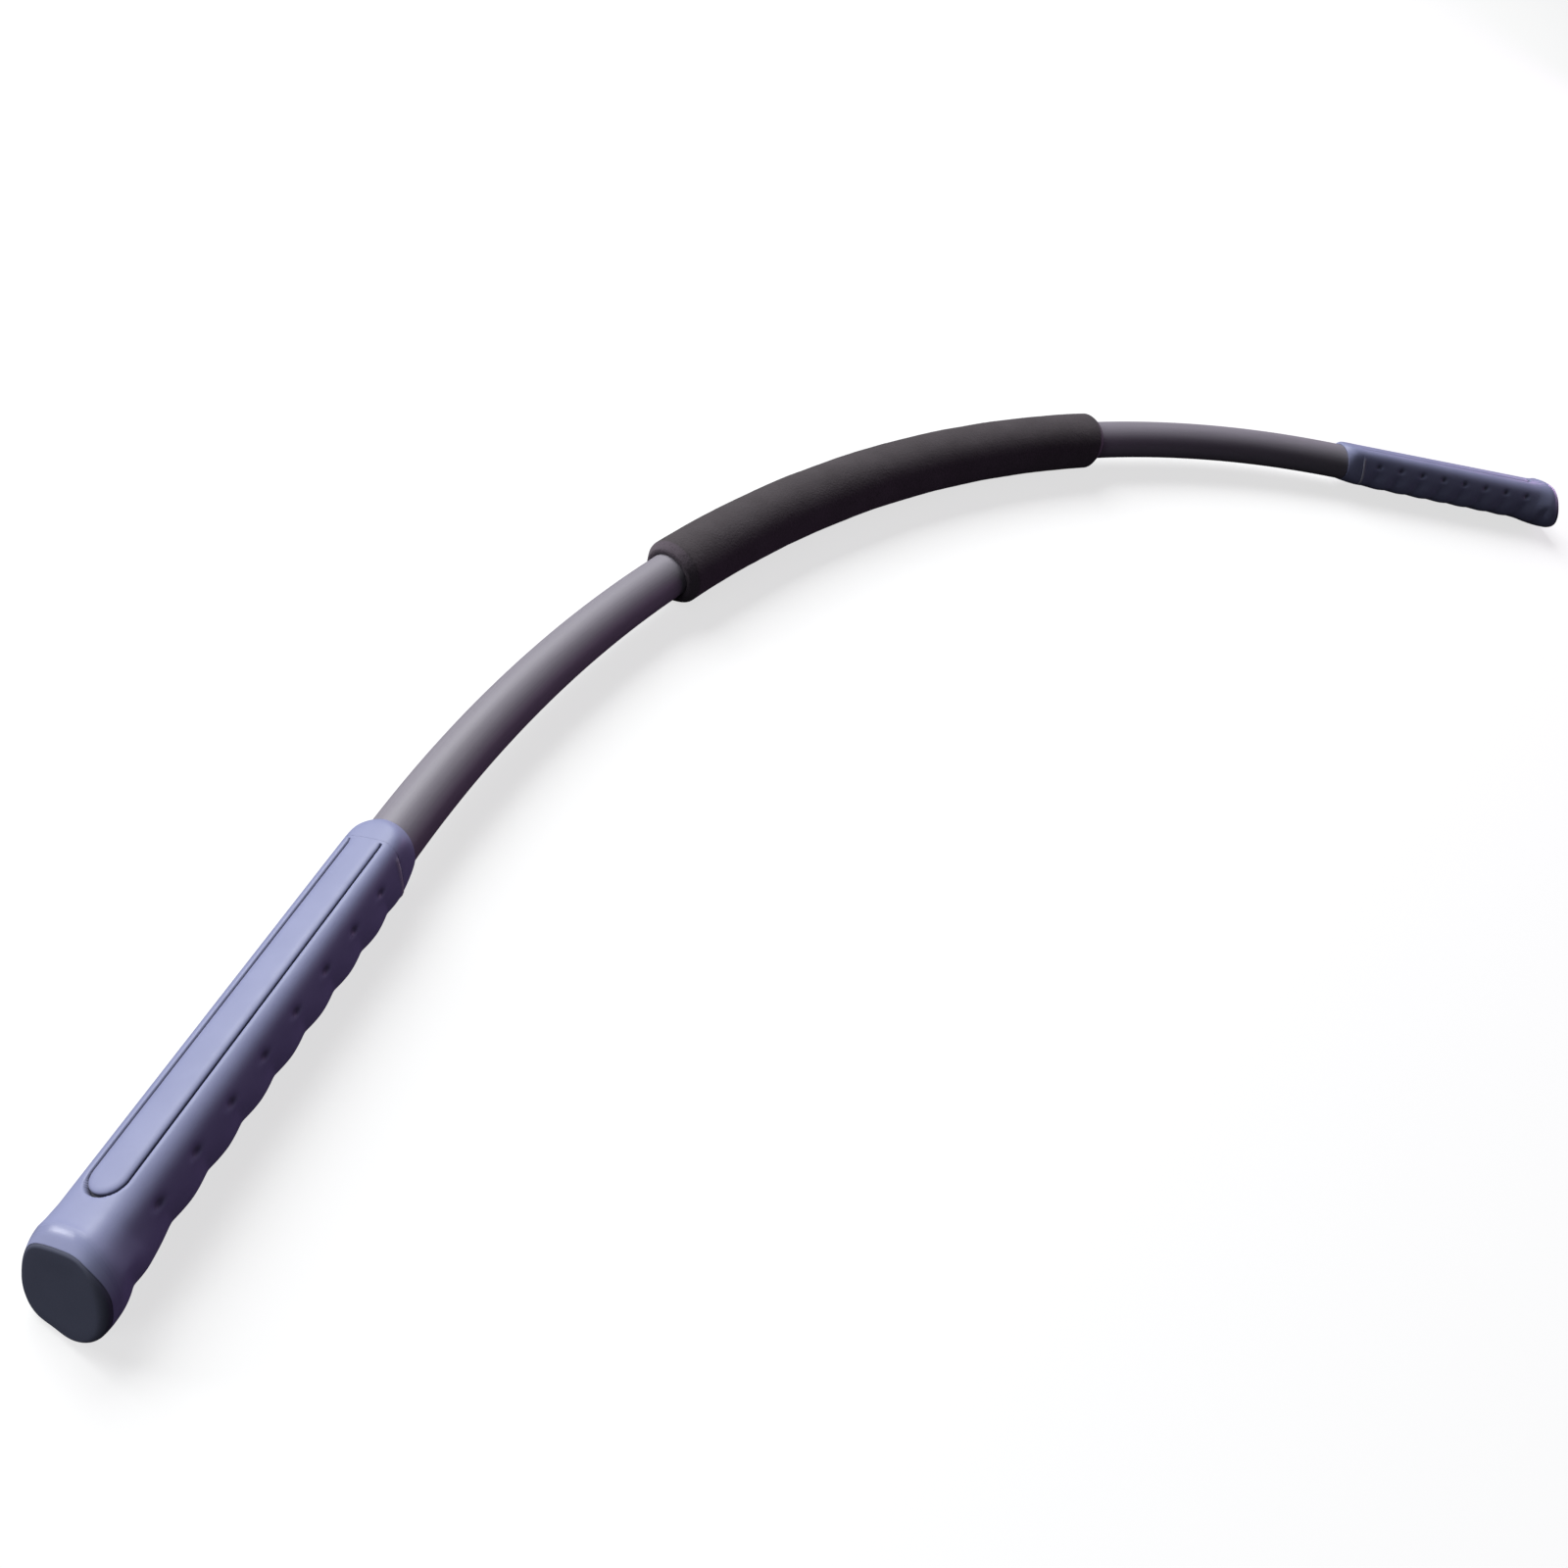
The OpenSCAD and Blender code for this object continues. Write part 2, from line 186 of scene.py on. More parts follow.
class Nodes:
    """A material's node tree with short calls."""

    def __init__(self, name, base, roughness):
        self.mat = bpy.data.materials.new(name)
        self.mat.use_nodes = True
        self.tree = self.mat.node_tree
        self.bsdf = self.tree.nodes["Principled BSDF"]
        self.bsdf.inputs["Base Color"].default_value = (*base, 1)
        self.bsdf.inputs["Roughness"].default_value = roughness
        self.coords = self.add("ShaderNodeTexCoord")

    def add(self, kind, **settings):
        node = self.tree.nodes.new(kind)
        for key, value in settings.items():
            setattr(node, key, value)
        return node

    def feed(self, socket, x):
        """Links an output to a socket, or sets the socket to a number or a colour."""
        if isinstance(x, (int, float)):
            socket.default_value = x
        elif isinstance(x, tuple):
            socket.default_value = (*x, 1)
        else:
            self.tree.links.new(x, socket)

    def noise(self, scale, detail=2.0, rough=0.5, vector=None):
        node = self.add("ShaderNodeTexNoise")
        node.inputs["Scale"].default_value = scale
        node.inputs["Detail"].default_value = detail
        node.inputs["Roughness"].default_value = rough
        self.feed(node.inputs["Vector"], vector or self.coords.outputs["Object"])
        return node.outputs["Fac"]

    def cells(self, scale):
        node = self.add("ShaderNodeTexVoronoi")
        node.inputs["Scale"].default_value = scale
        self.feed(node.inputs["Vector"], self.coords.outputs["Object"])
        return node.outputs["Distance"]

    def stretched(self, along, across):
        """Lengths along and round a piece, scaled apart so that noise draws out into lines."""
        node = self.add("ShaderNodeMapping")
        node.inputs["Scale"].default_value = (along, across, 1)
        uv = self.add("ShaderNodeUVMap", uv_map="along")
        self.feed(node.inputs["Vector"], uv.outputs["UV"])
        return node.outputs["Vector"]

    def value(self, name):
        return self.add("ShaderNodeAttribute", attribute_name=name).outputs["Fac"]

    def ramp(self, fac, low, high, a, b):
        """Maps fac from low..high to a..b, held at both ends."""
        node = self.add("ShaderNodeMapRange")
        for key, number in zip(("From Min", "From Max", "To Min", "To Max"), (low, high, a, b)):
            node.inputs[key].default_value = number
        self.feed(node.inputs["Value"], fac)
        return node.outputs["Result"]

    def spread(self, fac, a=0.0, b=1.0):
        """Maps the usual span of noise to a..b."""
        return self.ramp(fac, *NOISE_SPAN, a, b)

    def calc(self, how, a, b):
        node = self.add("ShaderNodeMath", operation=how)
        self.feed(node.inputs[0], a)
        self.feed(node.inputs[1], b)
        return node.outputs[0]

    def total(self, a, share_a, b, share_b):
        """Weighted sum of two heights."""
        return self.calc("ADD", self.calc("MULTIPLY", a, share_a),
                         self.calc("MULTIPLY", b, share_b))

    def mix(self, fac, a, b):
        node = self.add("ShaderNodeMix", data_type="RGBA")
        for socket, x in zip((node.inputs[0], node.inputs[6], node.inputs[7]), (fac, a, b)):
            self.feed(socket, x)
        return node.outputs[2]

    def color(self, socket):
        self.feed(self.bsdf.inputs["Base Color"], socket)

    def roughness(self, socket):
        self.feed(self.bsdf.inputs["Roughness"], socket)

    def sheen(self, weight, roughness):
        self.bsdf.inputs["Sheen Weight"].default_value = weight
        self.bsdf.inputs["Sheen Roughness"].default_value = roughness

    def bump(self, height, strength, distance):
        node = self.add("ShaderNodeBump")
        node.inputs["Strength"].default_value = strength
        node.inputs["Distance"].default_value = distance
        self.feed(node.inputs["Height"], height)
        self.feed(self.bsdf.inputs["Normal"], node.outputs["Normal"])


def soft_grip_material():
    """Soft-touch rubber, lavender grey: fine grain and faint mottling, with painted shade in the
    pits, gaps, seam and bore, and painted highlights on the seam's beads.
    """
    base, pale, deep = (0.340, 0.362, 0.588), (0.370, 0.392, 0.625), (0.016, 0.015, 0.028)
    flecks, wear_and_painted_highlight_color = (0.25, 0.25, 0.40), (0.88, 0.88, 0.93)
    m = Nodes("soft_grip", base, 0.5)
    grain = m.noise(scale=2600)
    body = m.mix(m.spread(m.noise(scale=70, detail=3)), base, pale)
    body = m.mix(m.ramp(grain, 0.55, 0.8, 0.0, 0.10), body, flecks)
    # Painted highlight: pale where the seam's beads are, standing in for their glints.
    paled_for_wear_and_highlight = m.mix(m.value("wear_and_painted_highlight"), body, wear_and_painted_highlight_color)
    # Painted shade: near black in the pits, the panel's gap, the seam, the collar's bore and round
    # the end cap.
    m.color(m.mix(m.value("hollow"), paled_for_wear_and_highlight, deep))
    satin = m.spread(m.noise(scale=160), 0.42, 0.52)
    m.roughness(m.calc("MULTIPLY", satin, m.ramp(m.value("polish"), 0.0, 1.0, 1.0, 0.45)))
    m.bump(grain, strength=0.10, distance=FINE)
    m.sheen(weight=0.08, roughness=0.5)
    return m.mat


def cap_material():
    """Slate plastic with a fine spark-eroded face and paler rubbed edges."""
    base, pale, wear_and_painted_highlight_color = (0.112, 0.122, 0.184), (0.121, 0.131, 0.196), (0.15, 0.16, 0.23)
    m = Nodes("cap_slate", base, 0.55)
    grain = m.noise(scale=1900)
    body = m.mix(m.spread(m.noise(scale=90, detail=3)), base, pale)
    m.color(m.mix(m.value("wear_and_painted_highlight"), body, wear_and_painted_highlight_color))
    m.roughness(m.spread(grain, 0.5, 0.62))
    m.bump(grain, strength=0.12, distance=FINE)
    return m.mat


def sheath_material():
    """Satin grey tube with faint drawn lines along it."""
    base, dark, speck = (0.348, 0.322, 0.376), (0.314, 0.290, 0.340), (0.2, 0.19, 0.2)
    m = Nodes("sheath_satin", base, 0.4)
    lines = m.noise(scale=1, detail=3, rough=0.6, vector=m.stretched(12, 900))
    specks = m.noise(scale=1500)
    body = m.mix(m.spread(lines), dark, base)
    m.color(m.mix(m.ramp(specks, 0.6, 0.8, 0.0, 0.25), body, speck))
    m.roughness(m.spread(lines, 0.46, 0.58))
    m.bump(m.total(lines, 0.6, specks, 0.4), strength=0.12, distance=FINE)
    return m.mat


def foam_material():
    """Dark foam with open cells on its skin, paler in patches, and painted paler and more purple at
    its ends as a painted fill light.
    """
    base, pale, pore = (0.058, 0.046, 0.053), (0.078, 0.064, 0.073), (0.013, 0.009, 0.012)
    painted_end_color = (0.125, 0.098, 0.125)
    m = Nodes("foam_dark", base, 0.92)
    cells = m.cells(scale=1100)
    grain = m.noise(scale=900, detail=3, rough=0.6)
    body = m.mix(m.ramp(m.noise(scale=55, detail=3), 0.35, 0.7, 0.0, 1.0), base, pale)
    # Painted fill light: the foam's ends are painted paler and more purple, as if lit.
    body = m.mix(m.value("painted_end_light"), body, painted_end_color)
    m.color(m.mix(m.ramp(cells, 0.05, 0.35, 0.55, 0.0), body, pore))
    m.roughness(m.spread(grain, 0.86, 0.97))
    m.bump(m.total(cells, 0.7, grain, 0.5), strength=0.45, distance=COARSE)
    m.sheen(weight=0.12, roughness=0.6)
    return m.mat


def core_material():
    """Pulled glass-fibre rod: pale resin with long fibres."""
    m = Nodes("core_glass_fibre", (0.56, 0.50, 0.30), 0.45)
    fibres = m.noise(scale=1, detail=4, rough=0.65, vector=m.stretched(6, 1600))
    m.color(m.mix(m.spread(fibres), (0.42, 0.36, 0.20), (0.66, 0.61, 0.42)))
    m.roughness(m.spread(fibres, 0.35, 0.55))
    m.bump(fibres, strength=0.2, distance=FINE)
    return m.mat


def hard_plastic_material():
    """Moulded plastic of the hidden insert."""
    m = Nodes("insert_plastic", (0.10, 0.105, 0.145), 0.5)
    grain = m.noise(scale=1200)
    mottle = m.spread(m.noise(scale=60, detail=3))
    m.color(m.mix(mottle, (0.09, 0.095, 0.13), (0.12, 0.125, 0.17)))
    m.roughness(m.spread(grain, 0.45, 0.6))
    m.bump(grain, strength=0.1, distance=FINE)
    return m.mat


def steel_material():
    """Drawn steel pin."""
    m = Nodes("pin_steel", (0.55, 0.56, 0.58), 0.35)
    m.bsdf.inputs["Metallic"].default_value = 1.0
    lines = m.noise(scale=3000, detail=3)
    m.color(m.mix(m.spread(lines), (0.48, 0.49, 0.51), (0.60, 0.61, 0.63)))
    m.roughness(m.spread(lines, 0.28, 0.42))
    m.bump(lines, strength=0.1, distance=FAINT)
    return m.mat


SOFT_GRIP, CAP, SHEATH = soft_grip_material(), cap_material(), sheath_material()
FOAM, CORE = foam_material(), core_material()
HARD, STEEL = hard_plastic_material(), steel_material()


def dress(obj, material, slot):
    obj.data.materials.clear()
    obj.data.materials.append(material)


# The bar: foam, sheath and core

FOAM_TURNS, SHEATH_TURNS, CORE_TURNS = 96, 72, 36
ROD_STEP, SKIN_STEP, BORE_STEP = 3.0, 2.0, 6.0

# The foam's end as (length back from it, radius): bevel, cut face and the bore's edge.
FOAM_END = ((4.7, 15.0), (4.3, 14.97), (3.9, 14.86), (3.5, 14.66), (3.0, 14.36), (2.4, 13.97),
            (1.8, 13.57), (1.2, 13.16), (0.7, 12.8), (0.35, 12.45), (0.12, 12.0), (0.02, 11.5),
            (0.0, 11.0), (0.15, 10.55), (0.5, 10.25), (1.2, SHEATH_R + FIT))
SKIN_END, BORE_END = FOAM_HALF - 5.2, FOAM_HALF - 4
# Painted light on the foam's ends: how far back from the end it starts and how far it fades in.
PAINTED_END_BACK, PAINTED_END_FADE = 4.2, 0.8

# Unevenness of the foam's skin as (length of a wave, scale round it, height), and its mean depth.
FOAM_WAVES = ((22.0, 1.1, 0.22), (5.0, 3.2, 0.07))
FOAM_SINK = 0.12
FOAM_SKIN = FOAM_R - 2.5


def zone_point(s, side):
    x, y, z = along_bow(s, 0.0, 0.0) * MM
    return (SIDES[side] * x, y, z)


def bend_piece(obj, side, zone):
    """Bakes the piece's placing into its mesh. The ends of its zone of the bow are worked out, but
    nothing uses them.
    """
    ends = [0.0, FOAM_HALF, ZONE_2, FLEX]
    zone_point(ends[zone], side)
    zone_point(ends[zone + 1], side)
    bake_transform(obj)


def steps(a, b, size):
    return list(np.linspace(a, b, max(2, int(round(abs(b - a) / size)) + 1)))


def foam_wobble(side):
    """Slight unevenness of the foam's outside, the same on both halves where they meet."""
    def height(s, a):
        total = 0.0
        for wave, girth, high in FOAM_WAVES:
            at = Vector((SIDES[side] * s / wave, math.cos(a) * girth, math.sin(a) * girth))
            total += high * noise.noise(at)
        return total - FOAM_SINK

    def wobble(s, r, a):
        out = np.zeros(s.shape)
        for i in np.nonzero(r[:, 0] >= FOAM_SKIN)[0]:
            out[i] = [height(s[i, j], a[j]) for j in range(len(a))]
        return out
    return wobble


for side in SIDES:
    # foam: outer skin, end and bore
    profile = [(s, FOAM_R) for s in steps(0, SKIN_END, SKIN_STEP)]
    profile += [(FOAM_HALF - back, r) for back, r in FOAM_END]
    profile += [(s, SHEATH_R + FIT) for s in steps(BORE_END, 0, BORE_STEP)]
    # Painted fill light: 1 near the foam's end, 0 further along.
    painted_end_light = [np.clip((s - FOAM_HALF + PAINTED_END_BACK) / PAINTED_END_FADE, 0, 1) for s, r in profile]
    foam = swept("foam_half_" + side, profile, side, FOAM_TURNS, wobble=foam_wobble(side),
                 values={"painted_end_light": painted_end_light})
    dress(foam, FOAM, "foam")
    bend_piece(foam, side, 0)
    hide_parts("foam_" + side, "foam_center")

    # sheath and core in the three zones of this half
    zone_ends = [(0.0, FOAM_HALF), (FOAM_HALF, ZONE_2), (ZONE_2, SHEATH_END)]
    zone_nodes = [["center"], [f"{side}_inner"], [f"{side}_outer", f"{side}_end"]]
    for zone, ((a, b), nodes) in enumerate(zip(zone_ends, zone_nodes)):
        profile = [(s, SHEATH_R) for s in steps(a, b, ROD_STEP)]
        profile += [(s, CORE_R + FIT) for s in steps(b, a, ROD_STEP)]
        sheath = swept(f"sheath_{side}_{zone + 1}", profile, side, SHEATH_TURNS)
        dress(sheath, SHEATH, "sheath")
        bend_piece(sheath, side, zone)
        core_to = CORE_END if zone == 2 else b
        profile = [(s, CORE_R) for s in steps(a, core_to, ROD_STEP)]
        core = swept(f"core_{side}_{zone + 1}", profile, side, CORE_TURNS, closed=False)
        dress(core, CORE, "core")
        bend_piece(core, side, zone)
        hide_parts(*["sheath_" + n for n in nodes])
        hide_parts(*["core_" + n for n in nodes])


# The grips. Below, a pair named RISE or FALL is where a soft change starts and how far it runs.

# section: half sizes and corner radii in front, at the waist and at the butt
HALF_FRONT, HALF_WAIST, HALF_BUTT, SIDE_BUTT = 11.6, 12.8, 13.8, 14.3
ROUND_FRONT, ROUND_WAIST, ROUND_BUTT = 14.0, 14.3, 15.0
FLARE_FROM, FLARE_TO = 148.0, 158.0
SHARPNESS = 14.0
NOSE_BLEND = 12

# butt: its swell, more on the outer side and none over the floor, and the inner side's span
SWELL, SWELL_OUTER, SWELL_INNER = 1.35, 0.2, 0.25
SWELL_RISE = (55, 50)
SWELL_FROM, SWELL_SHIFT = 143, 5
FLOOR_CUT, FLOOR_SPAN = 1.2, 22
INNER_RISE, INNER_FALL = (40, 60), (115, 62)

# finger grooves, the notch behind the last of them, and the pits at their ends
PITCH = 16.4
GROOVES = [23.2 + PITCH * i for i in range(8)]
LAST_NOTCH = GROOVES[-1] + PITCH + 2.0
GROOVE_DEPTH, NOTCH_DEPTH = 0.9, 1.5
GROOVE_RISE, GROOVE_FALL, GROOVE_FADE = (84, 32), (148, 26), 0.75
TIP_SOFT, TIP_LIFT = 0.012, 0.11
PIT_ANGLE = math.radians(76)
PIT_R, PIT_LENGTH, PIT_WIDTH = 12, 1.9, 1.4
PIT_DEPTH, PIT_SHADE = 0.65, 0.5

# palm panel and its pocket, whose shade starts at one depth and deepens over another
PANEL_X0, PANEL_X1, PANEL_HALF, PANEL_GAP = 9.4, 143.4, 6.05, 1.0
PANEL_ROUND_X = PANEL_X1 - PANEL_HALF
POCKET_DEPTH, POCKET_WALL = 1.9, 0.36
LIP_DROP, LIP_WIDTH = 0.32, 0.8
SHADE_FROM, SHADE_RUN, SHADE_MOST = 0.25, 0.7, 0.9
TOP_FROM, OFF_PANEL = 0.4, 99
FRONT_STEP, FRONT_RUN, PANEL_RAISE = 0.02, 1.2, 0.02

# The panel's edge in rings: (how far inward, height, painted shade in the gap). Rings above FOOT
# come up to the surface in front, where the panel meets the collar.
FOOT = -1.0
PANEL_RINGS = ((0.0, -1.75, 0.8), (0.0, -0.85, 0.8), (0.06, -0.68, 0.5), (0.25, -0.50, 0.25),
               (0.6, -0.31, 0.0), (1.05, -0.16, 0.0), (1.55, -0.06, 0.0), (2.1, -0.01, 0.0),
               (2.7, 0.0, 0.0), (3.6, 0.0, 0.0), (4.7, 0.0, 0.0), (5.8, 0.0, 0.0))

# leaning seam between collar and sleeve, and its beads
SEAM_R, SEAM_FLAT, SEAM_RUN = 11.8, 0.84, 14
SEAM_RISE, SEAM_DEPTH, SEAM_SHADE = (50, 22), 0.2, 0.6
BEAD_RISE, BEAD_FALL = (58, 10), (130, 14)
BEAD_LOW, BEAD_COUNT = 0.45, 44
BEAD_AT, BEAD_WIDTH, BEAD_HEIGHT = 0.8, 0.7, 0.4

# collar: radius at which its front is set out, its bore, the rings of its lip as (length back,
# share of the lip, painted shade), and its rows as shares of its length
COLLAR_R = 10.6
COLLAR_BORE = SHEATH_R + 0.05
LIP_RINGS = ((0.5, 0.0, 0.8), (0.14, 0.04, 0.5), (0.0, 0.4, 0.15), (0.0, 0.75, 0.0),
             (0.04, 0.93, 0.0))
COLLAR_ROWS = (0.012, 0.03, 0.06, 0.1, 0.15, 0.21, 0.28, 0.36, 0.45, 0.55, 0.65, 0.75, 0.84,
               0.91, 0.96, 0.985)

# slanted end of the sleeve: where its rows start, its band, face edge and crease
END_FROM = 150.0
END_BAND, END_BAND_INNER = 3.6, 2.0
EDGE_BACK, EDGE_BACK_INNER = 0.45, 2.5
CREASE, EDGE_SOFT = 2.5, 0.5
WALL_ROWS, CREASE_ROWS, BAND_ROWS, EDGE_ROWS = 25, 7, (0.33, 0.67, 1.0), 5
POCKET_SHADE, EDGE_SHADE = 0.9, 0.4
BORE_ROWS = (110.0, 75.0, 40.0)

# end cap: outline, room in its pocket, eased edge, and the rings of its slightly dished face
CAP_HALF, CAP_LOW, CAP_SIDE, CAP_ROUND = 12.0, 13.4, 13.5, 13.8
CAP_FLUSH, CAP_FIT = 0.25, 0.08
CAP_COLUMNS = 120
CAP_FACE = GRIP_LEN - 0.04
CAP_EDGE, CAP_EDGE_INNER = 0.8, 1.9
CAP_RUB = 0.4
CAP_EDGE_ROWS = 11
CAP_RINGS = (-3.1, -4.0, -5.6, -8.6, -11.6)
CAP_SHRINK = 12
DISH_RISE, DISH = (3.1, 4), 0.12

# rows of the sleeve: steps along it, at a groove and at the panel's round end, and the least gap
ROW_STEP, GROOVE_STEP, ROUND_STEP, ROW_GAP = 1.0, 0.45, 0.3, 0.11
SEAM_ROWS = (0.12, 0.3, 0.55)

# columns of the sleeve: widths across the panel, degrees about a pit, and counts of the rest
TOP_Y = [0, 0.7, 1.4, 2.1, 2.8, 3.5, 4.1, 4.7, 5.2, 5.7, 6.15, 6.42, 6.54, 6.66, 6.78, 6.9, 7.02,
         7.16, 7.4, 7.8, 8.3, 8.9]
PIT_COLUMNS = np.arange(-6.0, 6.1, 1.2)
SIDE_COLUMNS, UNDER_COLUMNS = 13, 44


def ease(t):
    t = np.clip(t, 0, 1)
    return t * t * (3 - 2 * t)


def rise(v, start, run):
    """0 up to start, then softly to 1 over run."""
    return ease((v - start) / run)


def around(phi):
    """Angle from the panel's middle, the same on both sides."""
    return np.abs((phi + math.pi) % (2 * math.pi) - math.pi)


def turned(phi):
    return np.degrees(around(phi))


def inner_side(phi):
    """0 to 1 on the side toward the inside of the bow, where the end cap's edge is rounder."""
    turn = turned(phi)
    return rise(turn, *INNER_RISE) * (1 - rise(turn, *INNER_FALL)) * (np.sin(phi) < 0)


def butt_swell(phi):
    """How much further the butt stands out at its sides and below, though not over the floor."""
    from_floor = (np.degrees(phi) + ROLL_DEG) % 360 - 180
    more = (SWELL + SWELL_OUTER * np.sin(phi)) * rise(turned(phi), *SWELL_RISE)
    more = more + SWELL_INNER * inner_side(phi)
    return more * (1 - FLOOR_CUT * np.exp(-(from_floor / FLOOR_SPAN) ** 2))


def section(phi, half, side, corner):
    """Radius of an upright rectangle with its corners cut round and soft changes between."""
    c, s = np.abs(np.cos(phi)), np.abs(np.sin(phi))
    total = (c / half) ** SHARPNESS + (s / side) ** SHARPNESS + corner ** -SHARPNESS
    return total ** (-1 / SHARPNESS)


def cap_section(phi, grow=0.0):
    """Radius of the end cap's outline: inside the sleeve's end, flush with it on the inner side."""
    half = np.where(np.cos(phi) > 0, CAP_HALF, CAP_LOW)
    inset = section(phi, half, CAP_SIDE, CAP_ROUND) + butt_swell(phi)
    flush = form_radius(FLARE_TO, phi) - CAP_FLUSH
    more = inner_side(phi) * np.maximum(flush - inset, 0) + butt_swell(phi)
    more = more * np.clip(1 + grow / CAP_SHRINK, 0.1, 1)
    return section(phi, half + grow, CAP_SIDE + grow, CAP_ROUND + grow) + more


def nose_radius(x, phi):
    """Radius at which the leaning cone of the nose lies."""
    ahead, slope = x - NOSE_X, math.tan(NOSE_SLOPE)
    a, b = ahead * math.cos(LEAN), np.cos(phi) * math.sin(LEAN)
    u, v = NOSE_R + a * slope, b * slope
    lead, half = 1 - b * b - v * v, a * b + u * v
    return (half + np.sqrt(half * half - lead * (ahead * ahead - a * a - u * u))) / lead


def form_radius(x, phi):
    """Radius of the grip's smooth outside at x, phi turned from the palm panel's middle."""
    x, phi = np.broadcast_arrays(np.asarray(x, float), phi)
    places = [SHEATH_IN, FLARE_FROM, FLARE_TO]
    half = np.interp(x, places, [HALF_FRONT, HALF_WAIST, HALF_BUTT])
    side = np.interp(x, places, [HALF_FRONT, HALF_WAIST, SIDE_BUTT])
    corner = np.interp(x, places, [ROUND_FRONT, ROUND_WAIST, ROUND_BUTT])
    swell_from = SWELL_FROM + SWELL_SHIFT * np.sin(phi)
    swell = butt_swell(phi) * rise(x, swell_from, FLARE_TO - swell_from)
    body = section(phi, half, side, corner) ** -NOSE_BLEND
    return (body + nose_radius(x, phi) ** -NOSE_BLEND) ** (-1 / NOSE_BLEND) + swell


def groove_drop(x, phi):
    """Depth of the finger grooves: arches that meet in soft notches on the two lower corners."""
    x, phi = np.broadcast_arrays(np.asarray(x, float), phi)
    d = np.min([np.abs(x - g) for g in GROOVES + [LAST_NOTCH]], 0) / (PITCH / 2)
    d = np.clip(np.sqrt(d * d + TIP_SOFT) - TIP_LIFT, 0, 1)
    turn = turned(phi)
    share = rise(turn, *GROOVE_RISE) * (1 - GROOVE_FADE * rise(turn, *GROOVE_FALL))
    depth = np.where(x > LAST_NOTCH - PITCH / 2, NOTCH_DEPTH, GROOVE_DEPTH)
    return depth * (1 - d) ** 2 * share


def pit(x, phi):
    """0 to 1 in the small pit at each end of a finger groove."""
    x, phi = np.broadcast_arrays(np.asarray(x, float), phi)
    arc = (around(phi) - PIT_ANGLE) * PIT_R
    d = np.min([np.abs(x - g) for g in GROOVES], 0)
    return np.exp(-(d / PIT_LENGTH) ** 2 - (arc / PIT_WIDTH) ** 2)


def pocket_distance(x, y):
    """Distance outside (positive) or inside the panel's pocket, round at the end cap's side."""
    r = PANEL_HALF + PANEL_GAP
    sides = np.where(x > PANEL_ROUND_X, np.hypot(x - PANEL_ROUND_X, y) - r, np.abs(y) - r)
    return np.maximum(sides, PANEL_X0 - x)


def pocket_drop(x, y):
    """Depth of the panel's pocket with its eased lip. Its front is a plain step."""
    d = pocket_distance(x, y)
    lip = LIP_DROP * np.clip(1 - d / LIP_WIDTH, 0, 1) ** 2
    wall = POCKET_DEPTH * ease(-d / POCKET_WALL)
    return np.where(x < PANEL_X0 + 1, POCKET_DEPTH * (d < -FRONT_STEP),
                    lip * (d > -POCKET_WALL) + wall * (d < 0))


def column_angles(x):
    """Angles of the columns at x: at fixed widths across the panel, then finer round the pits."""
    table = np.radians(np.linspace(0, 60, 601))
    top = np.interp(TOP_Y, form_radius(x, table) * np.sin(table), table)
    pit_cols = PIT_ANGLE + np.radians(PIT_COLUMNS)
    between = np.linspace(top[-1], pit_cols[0], SIDE_COLUMNS)[1:-1]
    under = np.linspace(pit_cols[-1], math.pi, UNDER_COLUMNS)[1:]
    half = np.concatenate([top, between, pit_cols, under])
    return np.concatenate([half, 2 * math.pi - half[-2:0:-1]])


def leaned(x, phi):
    """Moves a row so that it leans like the seam in front and stands square further back."""
    lean = SEAM_R * math.tan(LEAN) * np.minimum(np.cos(phi), SEAM_FLAT)
    return x - lean * (1 - rise(x, COLLAR_LEN, SEAM_RUN))


def grip_rows():
    """Places of the sleeve's rows, close together at the grooves and at the panel's two ends."""
    table = np.linspace(COLLAR_LEN, 40, 2000)
    front = [float(np.interp(x, leaned(table, 0.0), table))
             for x in (PANEL_X0 - 0.01, PANEL_X0 + 0.02)]
    xs = [COLLAR_LEN + back for back in SEAM_ROWS]
    xs += list(np.arange(COLLAR_LEN + 0.9, END_FROM, ROW_STEP))
    for g in GROOVES:
        xs += list(g + np.arange(-1.8, 1.81, GROOVE_STEP))
    xs += list(np.arange(PANEL_ROUND_X - 0.6, PANEL_X1 + 1.2, ROUND_STEP)) + front
    kept = []
    for x in sorted(xs):
        if not kept or x - kept[-1] > ROW_GAP or x in front:
            kept.append(x)
    return kept


def ring_at(x, r, phi):
    """Points round the grip's axis at x and r, which may each be one number."""
    x, r = np.broadcast_to(x, phi.shape), np.broadcast_to(r, phi.shape)
    return np.stack([x, r * np.sin(phi), r * np.cos(phi)], -1)


def slant_x(r, phi, x=GRIP_LEN):
    """Where a slanted plane that crosses the axis at x lies at a radius."""
    return x - r * np.cos(phi) * math.tan(SLANT)


def seam(phi):
    """0 to 1: how far the seam behind the collar shows, only on the sides and underneath."""
    return rise(turned(phi), *SEAM_RISE)


def seam_beads(phi):
    """Row of small raised beads along the seam on the two sides."""
    turn = turned(phi)
    reach = rise(turn, *BEAD_RISE) * (1 - rise(turn, *BEAD_FALL))
    return reach * (BEAD_LOW + (1 - BEAD_LOW) * np.cos(around(phi) * BEAD_COUNT) ** 2)


def shares(n):
    """n even shares of a length, the last of them 1."""
    return np.linspace(0, 1, n + 1)[1:]


def bezier(q, a, b, c):
    """Point of a curve from a to c that is drawn toward b."""
    return tuple((1 - q) ** 2 * u + 2 * q * (1 - q) * v + q * q * w for u, v, w in zip(a, b, c))


